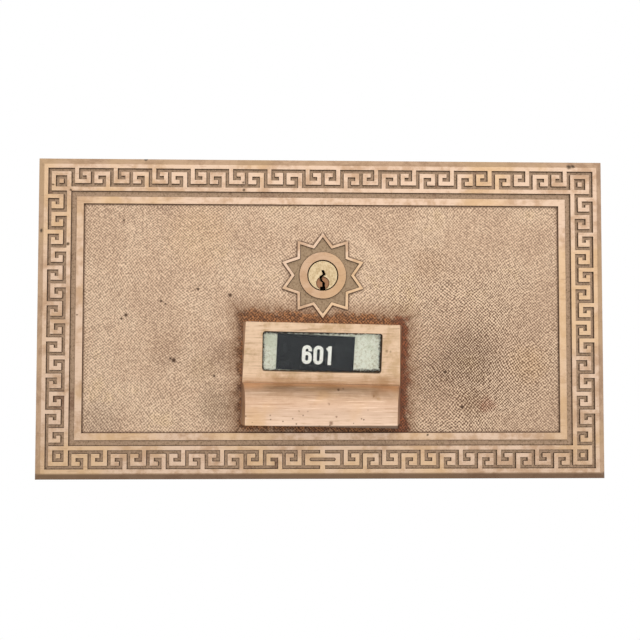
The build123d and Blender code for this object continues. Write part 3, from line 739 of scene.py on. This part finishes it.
def digit_strokes(digit):
    """The pen strokes of a narrow upright digit and its width, both in metres."""
    high = 2.32  # centre of the top arc above the digit's middle, in mm
    end = high + PEN_ARC
    tall, side = end + 0.85, 2.4  # flat ends reach as far as the round ones
    ring = arc(high, 0, 180) + arc(-high, 180, 360)
    six = [(PEN_ARC, 1.75)] + arc(high, 0, 180) + arc(-high, 180, 360) + arc(-0.85, 0, 180)
    drawn = {
        "0": [ring + ring[:1]],
        "1": [[(0.75, -tall), (0.75, tall)], [(-0.75, 2.75), (0.4, 3.55)]],
        "2": [arc(high, 180, 0) + [(1.5, 1.2), (-1.4, -3.3)], [(-side, -end), (side, -end)]],
        "3": [arc(high, 170, 0) + arc(1.55, 0, -90), arc(-1.55, 90, 0) + arc(-high, 0, -170)],
        "4": [[(0.75, -tall), (0.75, tall)], [(0.4, end), (-1.7, -1.5)], [(-side, -1.7), (side, -1.7)]],
        "5": [[(side, end), (-1.4, end), (-1.5, 0.5)], arc(-0.5, 150, 0) + arc(-high, 0, -170)],
        "6": [six],
        "7": [[(-side, end), (1.5, end), (-0.5, -tall)]],
        "8": [arc(high, 0, 180) + arc(1.35, 180, 361), arc(-1.35, 0, 180) + arc(-high, 180, 361)],
        "9": [[(-x, -y) for x, y in six]],
    }[digit]
    strokes = [[(x * MM, y * MM) for x, y in stroke] for stroke in drawn]
    left = min(x for stroke in strokes for x, y in stroke) - PEN
    width = max(x for stroke in strokes for x, y in stroke) + PEN - left
    return [[(x - left, y) for x, y in stroke] for stroke in strokes], width


def printed_number(context, number, height):
    """A flat mesh of the box number around the origin, height metres tall, as a round pen draws it."""
    pen = bpy.data.curves.new("number strokes", "CURVE")
    pen.dimensions, pen.bevel_depth, pen.bevel_resolution, pen.use_fill_caps = "3D", PEN, 2, True
    start = 0.0
    for digit in number:
        strokes, width = digit_strokes(digit)
        for stroke in strokes:
            spline = pen.splines.new("POLY")
            spline.points.add(len(stroke) - 1)
            for point, (across, rise) in zip(spline.points, stroke):
                point.co = (start + across, rise, 0, 1)
            spline.use_cyclic_u = len(stroke) > 3 and stroke[0] == stroke[-1]
        start += width + DIGIT_GAP
    carrier = bpy.data.objects.new("number strokes", pen)
    context.scene.collection.objects.link(carrier)
    context.view_layer.update()
    mesh = bpy.data.meshes.new_from_object(carrier.evaluated_get(context.evaluated_depsgraph_get()))
    bpy.data.objects.remove(carrier)
    mesh.name = "box_number"
    spans = [(min(v.co[i] for v in mesh.vertices), max(v.co[i] for v in mesh.vertices)) for i in (0, 1)]
    middle = Vector((sum(spans[0]) / 2, sum(spans[1]) / 2, 0))
    grow = height / (spans[1][1] - spans[1][0])
    mesh.transform(Matrix.Diagonal((grow, grow, INK_DEPTH / PEN, 1)) @ Matrix.Translation(-middle))
    return mesh


def window_dirt():
    """A flat mesh of the dirt along the window's edge, around the origin and ragged inwards."""
    bm = bmesh.new()
    bmesh.ops.create_grid(bm, x_segments=1, y_segments=1, size=0.5)
    bmesh.ops.delete(bm, geom=bm.faces[:], context="FACES_ONLY")
    # It starts 0.2 mm out of sight, behind the window's edge
    half = Vector((WINDOW_SIZE[0] / 2 + 0.2, WINDOW_SIZE[1] / 2 + 0.2)) * MM
    bmesh.ops.scale(bm, verts=bm.verts, vec=(2 * half.x, 2 * half.y, 1))
    bmesh.ops.subdivide_edges(bm, edges=bm.edges, cuts=110)
    inner = bmesh.ops.extrude_edge_only(bm, edges=bm.edges)["geom"]
    # It reaches in half a millimetre on average, and further along the top and the right
    for vert in (v for v in inner if isinstance(v, bmesh.types.BMVert)):
        ragged = noise.noise(vert.co / (1.1 * MM)) + 0.6 * noise.noise(vert.co / (3.5 * MM))
        heavier = 0.35 if vert.co.x > 0.9 * half.x or vert.co.y > 0.9 * half.y else 0.0
        reach = max(0.3, 0.5 + heavier + 0.75 * ragged) * MM
        vert.co.x = min(max(vert.co.x, reach - half.x), half.x - reach)
        vert.co.y = min(max(vert.co.y, reach - half.y), half.y - reach)
    bmesh.ops.recalc_face_normals(bm, faces=bm.faces)
    bmesh.ops.solidify(bm, geom=bm.faces[:], thickness=DIRT_DEPTH)
    bmesh.ops.recalc_face_normals(bm, faces=bm.faces)
    mesh = bpy.data.meshes.new("window_dirt")
    bm.to_mesh(mesh)
    bm.free()
    return mesh


# ---------------------------------------------------------------- settings


def colour(name, description, code):
    """A colour setting with its default."""
    return FloatVectorProperty(
        name=name, description=description, subtype="COLOR", min=0, max=1, default=linear(code)[:3]
    )


def length(name, description, default, least, most):
    """A length setting in metres, with its default and range."""
    return FloatProperty(
        name=name, description=description, unit="LENGTH", precision=5, min=least, max=most, default=default
    )


class DoorFinish(bpy.types.PropertyGroup):
    """Finish of the door casting."""

    raised_colour: colour("Raised brass", "Colour of the rubbed lines of the border and star", "cdb199")
    margin_colour: colour("Dull brass", "Colour of the raised brass where it is less rubbed", "b39377")
    groove_colour: colour("Groove dirt", "Colour of the floors of the border's grooves", "b1947a")
    edge_round: length("Edge rounding", "Radius worn onto the outer edges", 0.22 * MM, 0.0, 0.5 * MM)
    grain_pitch: length("Grain pitch", "Spacing of the marks in the field", 1.1 * MM, 0.5 * MM, 5 * MM)


class PullFinish(bpy.types.PropertyGroup):
    """Finish of the pull."""

    face_colour: colour("Rubbed brass", "Colour of the pull where hands keep it bright", "e8c8a8")
    worn_colour: colour("Dull brass", "Colour of the pull's duller patches", "ccaa84")
    edge_round: length("Edge rounding", "Radius worn onto the pull's outer edges", 0.6 * MM, 0.0, 1.2 * MM)


class WindowFinish(bpy.types.PropertyGroup):
    """Number window."""

    number: StringProperty(name="Box number", description="Number printed on the label", default="601")
    number_height: length("Number height", "Height of the printed digits", 9.4 * MM, 2 * MM, 16 * MM)
    label_colour: colour("Label", "Colour of the number label", "1f2226")
    backing_colour: colour("Backing card", "Colour of the card behind the label", "eaebdc")


class StudioSettings(bpy.types.PropertyGroup):
    """Lamp and room light."""

    lamp_power: FloatProperty(
        name="Lamp",
        description="Power of the soft lamp in front of the door",
        unit="POWER",
        min=0,
        default=8.2,
    )
    sky: FloatProperty(
        name="Room light",
        description="Strength of the even light from all round",
        min=0,
        max=2,
        default=0.62,
    )


# ---------------------------------------------------------------- pieces


def door_face(face):
    """Which of the door's finishes a face has, from its level, its direction and its place."""
    centre = face.calc_center_median() / MM
    across, level, up = abs(centre.x), -centre.y, abs(centre.z)
    hidden = across < HOLLOW_HALF[0] and up < HOLLOW_HALF[1]
    if level < BACK_LEVEL or (level < FIELD_LEVEL - 0.5 and (hidden or face.normal.y > 0.5)):
        return BACK
    front, upright = face.normal.y < -0.9, abs(face.normal.y) < 0.3
    if front and level > BORDER_TOP - 0.1:
        return RAISED
    if level <= FIELD_LEVEL - 0.1 or not (front or upright):
        return EDGE
    if upright or across >= FIELD_HALF[0] or up >= FIELD_HALF[1]:
        return GROOVE
    reach = max(math.hypot(v.co.x / MM - LOCK_CENTRE[0], v.co.z / MM - LOCK_CENTRE[1]) for v in face.verts)
    return STAR_GROUND if reach < STAR_GROUND_RADIUS else FIELD


class POBOX_OT_door_casting(bpy.types.Operator):
    """Dress the door casting with its border, field and star"""

    bl_idname = "pobox.door_casting"
    bl_label = "Door casting"

    def execute(self, context):
        finish = context.scene.pobox_door
        bright, dull = opaque(finish.raised_colour), opaque(finish.margin_colour)
        materials = [
            raised_brass("Cast brass, rubbed bright", bright, dull),
            groove_brass("Cast brass, dirt in grooves", opaque(finish.groove_colour)),
            field_brass("Chased brass field, tarnished", finish),
            groove_brass("Star ground, tarnished brass", linear("a98f72")),
            # The door's edge gets painted shade, with some dirt, along its lowest edge
            raised_brass("Door edge, dull brass", linear("ccaa8a"), linear("b39071"), 0.5, 0.75),
            plain_metal("Cast brass back, as cast", "b08b63", "84623f", 0.5),
        ]
        rounded_copy(
            "door_casting", "door_skin", "door", "cast_brass", finish.edge_round / MM, materials, door_face
        )
        return {"FINISHED"}


class POBOX_OT_pull(bpy.types.Operator):
    """Dress the cup pull that carries the number window"""

    bl_idname = "pobox.pull"
    bl_label = "Pull"

    def execute(self, context):
        finish = context.scene.pobox_pull
        brass = pull_brass("Filed brass, handled", finish)
        rounded_copy(
            "pull", "pull_skin", "door", "pull_brass", finish.edge_round / MM, [brass], segments=3, soft=True
        )
        return {"FINISHED"}


class POBOX_OT_number_window(bpy.types.Operator):
    """Dress the glass, the backing card and the label with its number"""

    bl_idname = "pobox.number_window"
    bl_label = "Number window"

    def execute(self, context):
        finish = context.scene.pobox_window
        paint(clear_glass("Window glass, drawn"), "window_glass")
        paint(backing_card("Backing card, pale green", finish), "backing_card")
        paint(label_paper("Label, matt black paper", finish), "number_card")
        mesh = printed_number(context, finish.number, finish.number_height)
        mesh.transform(on_card("number_card", NUMBER_SHIFT))
        place_piece("box_number", mesh, "door", "number_card", [number_ink("Number ink, white")])
        mesh = window_dirt()
        mesh.transform(on_card("window_glass"))
        place_piece("window_dirt", mesh, "door", "backing_card", [dried_dirt("Dried dirt, matt")])
        return {"FINISHED"}


class POBOX_OT_lock_face(bpy.types.Operator):
    """Dress the lock's plug, the cylinder around it and the tumblers"""

    bl_idname = "pobox.lock_face"
    bl_label = "Lock face"

    def execute(self, context):
        plug = plug_brass("Plug brass, turned")
        rounded_copy("key_plug", "plug_skin", "plug", "plug_brass", 0.12, [plug])
        cylinder = plain_metal("Cylinder brass, turned", "c9a877", "8f7046", 0.4)
        paint(cylinder, "cylinder_shell", "chamber_cap")
        paint(plain_metal("Tumbler brass, turned", "d8bc82", "a88a55", 0.35), "key_pins", "driver_pins")
        return {"FINISHED"}


class POBOX_OT_lock_works(bpy.types.Operator):
    """Dress the lock case, the cam, the bolt and its guide, and the retainer of the cards"""

    bl_idname = "pobox.lock_works"
    bl_label = "Lock works"

    def execute(self, context):
        case = plain_metal("Lock case brass, cast", "b8945f", "86663c", 0.45)
        rounded_copy("lock_case", "lock_case_skin", "door", "lock_brass", 0.3, [case])
        rounded_copy("case_cover", "case_cover_skin", "door", "lock_brass", 0.2, [case])
        rounded_copy("bolt_guide", "bolt_guide_skin", "door", "lock_brass", 0.25, [case])
        bolt = plain_metal("Bolt brass, drawn", "dcbb86", "b08d58", 0.3, patch=14.0)
        rounded_copy("latch_bolt", "latch_bolt_skin", "bolt", "bolt_brass", 0.25, [bolt])
        rounded_copy("cam", "cam_skin", "plug", "bolt_brass", 0.15, [bolt])
        retainer = plain_metal("Retainer plate, rolled brass", "cfae7c", "9a7a4b", 0.35)
        rounded_copy("card_retainer", "card_retainer_skin", "door", "retainer_brass", 0.15, [retainer])
        return {"FINISHED"}


class POBOX_OT_rear_frame(bpy.types.Operator):
    """Dress the rear frame and the hinge pins"""

    bl_idname = "pobox.rear_frame"
    bl_label = "Rear frame and hinge"

    def execute(self, context):
        brass = plain_metal("Frame brass, cast and dull", "b8925f", "866540", 0.5, patch=22.0)
        rounded_copy("rear_frame", "rear_frame_skin", "frame", "frame_brass", 0.35, [brass])
        paint(plain_metal("Hinge pin steel, drawn wire", "8d8a84", "6a665f", 0.35), "hinge_pins")
        return {"FINISHED"}


class POBOX_OT_screws(bpy.types.Operator):
    """Dress the slotted screws that hold the pull, retainer, lock case, cover, guide and cam"""

    bl_idname = "pobox.screws"
    bl_label = "Screws"

    def execute(self, context):
        brass = plain_metal("Screw brass, turned", "cdab72", "94733f", 0.35, patch=2.5)
        for node in ("pull_screws", "retainer_screws", "case_screws", "cover_screws", "guide_screws"):
            rounded_copy(node, node + "_skin", "door", "screw_brass", 0.12, [brass])
        rounded_copy("cam_screw", "cam_screw_skin", "plug", "screw_brass", 0.12, [brass])
        return {"FINISHED"}


# ---------------------------------------------------------------- studio


def background_share(tree):
    """1 for the rays that show the background: the camera's, reflections and those through glass."""
    path = add_node(tree, "ShaderNodeLightPath")
    seen = add_node(
        tree,
        "ShaderNodeMath",
        {0: path.outputs["Is Camera Ray"], 1: path.outputs["Is Glossy Ray"]},
        operation="MAXIMUM",
    )
    return add_node(
        tree, "ShaderNodeMath", {0: seen, 1: path.outputs["Is Transmission Ray"]}, operation="MAXIMUM"
    )


def pale_floor(scene):
    """A floor of pale paper, far enough below that the door hangs clear of it."""
    bm = bmesh.new()
    bmesh.ops.create_grid(bm, x_segments=1, y_segments=1, size=3.0)
    bmesh.ops.translate(bm, verts=bm.verts, vec=(0, 0.6, FLOOR_LEVEL))
    mesh = bpy.data.meshes.new("floor")
    bm.to_mesh(mesh)
    bm.free()
    material, tree, shader, _ = start_material("Floor, pale paper", 0.0, 0.9)
    shader.inputs["Base Color"].default_value = linear("f2f0ec")
    glow = add_node(tree, "ShaderNodeEmission", {"Color": (1, 1, 1, 1), "Strength": 1.0})
    blend = add_node(tree, "ShaderNodeMixShader", {0: background_share(tree), 1: shader, 2: glow})
    output = next(n for n in tree.nodes if n.bl_idname == "ShaderNodeOutputMaterial")
    tree.links.new(blend.outputs[0], output.inputs["Surface"])
    mesh.materials.append(material)
    floor = bpy.data.objects.new("floor", mesh)
    scene.collection.objects.link(floor)


def surroundings(scene, strength):
    """White all round for what sees the background, and even grey light for the rest."""
    world = bpy.data.worlds.new("Studio")
    world.use_nodes = True
    tree = world.node_tree
    tree.nodes.clear()
    white = add_node(tree, "ShaderNodeBackground", {"Color": (1, 1, 1, 1), "Strength": 1.0})
    room = add_node(tree, "ShaderNodeBackground", {"Color": linear("f7f5f2"), "Strength": strength})
    both = add_node(tree, "ShaderNodeMixShader", {0: background_share(tree), 1: room, 2: white})
    add_node(tree, "ShaderNodeOutputWorld", {"Surface": both})
    scene.world = world


def soft_lamp(scene, power):
    """A large square lamp that points at the door from above its right."""
    lamp = bpy.data.lights.new("Soft lamp", "AREA")
    lamp.energy, lamp.size = power, LAMP_SIZE
    holder = bpy.data.objects.new("Soft lamp", lamp)
    holder.location = LAMP_PLACE
    holder.rotation_mode = "QUATERNION"
    holder.rotation_quaternion = (-Vector(LAMP_PLACE)).to_track_quat("-Z", "Y")
    scene.collection.objects.link(holder)


def photo_camera(scene):
    """The camera at the photograph's viewpoint."""
    lens = bpy.data.cameras.new("Camera")
    lens.sensor_width, lens.lens = 36.0, CAMERA_LENS
    lens.clip_start, lens.clip_end = 0.01, 20.0
    camera = bpy.data.objects.new("Camera", lens)
    camera.matrix_world = (
        Matrix.Translation(CAMERA_PLACE)
        @ Matrix.Rotation(CAMERA_TURN, 4, "Z")
        @ Matrix.Rotation(CAMERA_TILT, 4, "X")
        @ Matrix.Rotation(CAMERA_ROLL, 4, "Y")
        @ Matrix.Rotation(math.pi / 2, 4, "X")
    )
    scene.collection.objects.link(camera)
    scene.camera = camera


class POBOX_OT_studio(bpy.types.Operator):
    """Set up the floor, the white surroundings, the soft lamp and the camera"""

    bl_idname = "pobox.studio"
    bl_label = "Studio"

    def execute(self, context):
        scene, studio = context.scene, context.scene.pobox_studio
        scene.view_settings.view_transform = "Standard"
        pale_floor(scene)
        surroundings(scene, studio.sky)
        soft_lamp(scene, studio.lamp_power)
        photo_camera(scene)
        return {"FINISHED"}


# ---------------------------------------------------------------- add-on


class POBOX_PT_sidebar(bpy.types.Panel):
    """Lists the door's settings and pieces in the sidebar"""

    bl_idname = "POBOX_PT_sidebar"
    bl_label = "Post office box door"
    bl_space_type = "VIEW_3D"
    bl_region_type = "UI"
    bl_category = "Box door"

    def draw(self, context):
        for group in SETTINGS:
            box = self.layout.box()
            box.label(text=SETTINGS[group].__doc__)
            settings = getattr(context.scene, group)
            for name in SETTINGS[group].__annotations__:
                box.prop(settings, name)
        for operator in OPERATORS:
            self.layout.operator(operator.bl_idname)


SETTINGS = {
    "pobox_door": DoorFinish,
    "pobox_pull": PullFinish,
    "pobox_window": WindowFinish,
    "pobox_studio": StudioSettings,
}
OPERATORS = (
    POBOX_OT_door_casting,
    POBOX_OT_pull,
    POBOX_OT_number_window,
    POBOX_OT_lock_face,
    POBOX_OT_lock_works,
    POBOX_OT_rear_frame,
    POBOX_OT_screws,
    POBOX_OT_studio,
)
CLASSES = (*SETTINGS.values(), *OPERATORS, POBOX_PT_sidebar)


def register():
    """Adds the classes, and the settings to every scene."""
    for one in CLASSES:
        bpy.utils.register_class(one)
    for name, group in SETTINGS.items():
        setattr(bpy.types.Scene, name, PointerProperty(type=group))


def unregister():
    """Takes the settings and classes away again."""
    for name in SETTINGS:
        delattr(bpy.types.Scene, name)
    for one in reversed(CLASSES):
        bpy.utils.unregister_class(one)


def main():
    """Builds every piece and the studio."""
    register()
    bpy.ops.pobox.door_casting()
    bpy.ops.pobox.pull()
    bpy.ops.pobox.number_window()
    bpy.ops.pobox.lock_face()
    bpy.ops.pobox.lock_works()
    bpy.ops.pobox.rear_frame()
    bpy.ops.pobox.screws()
    bpy.ops.pobox.studio()


if __name__ == "__main__":
    main()
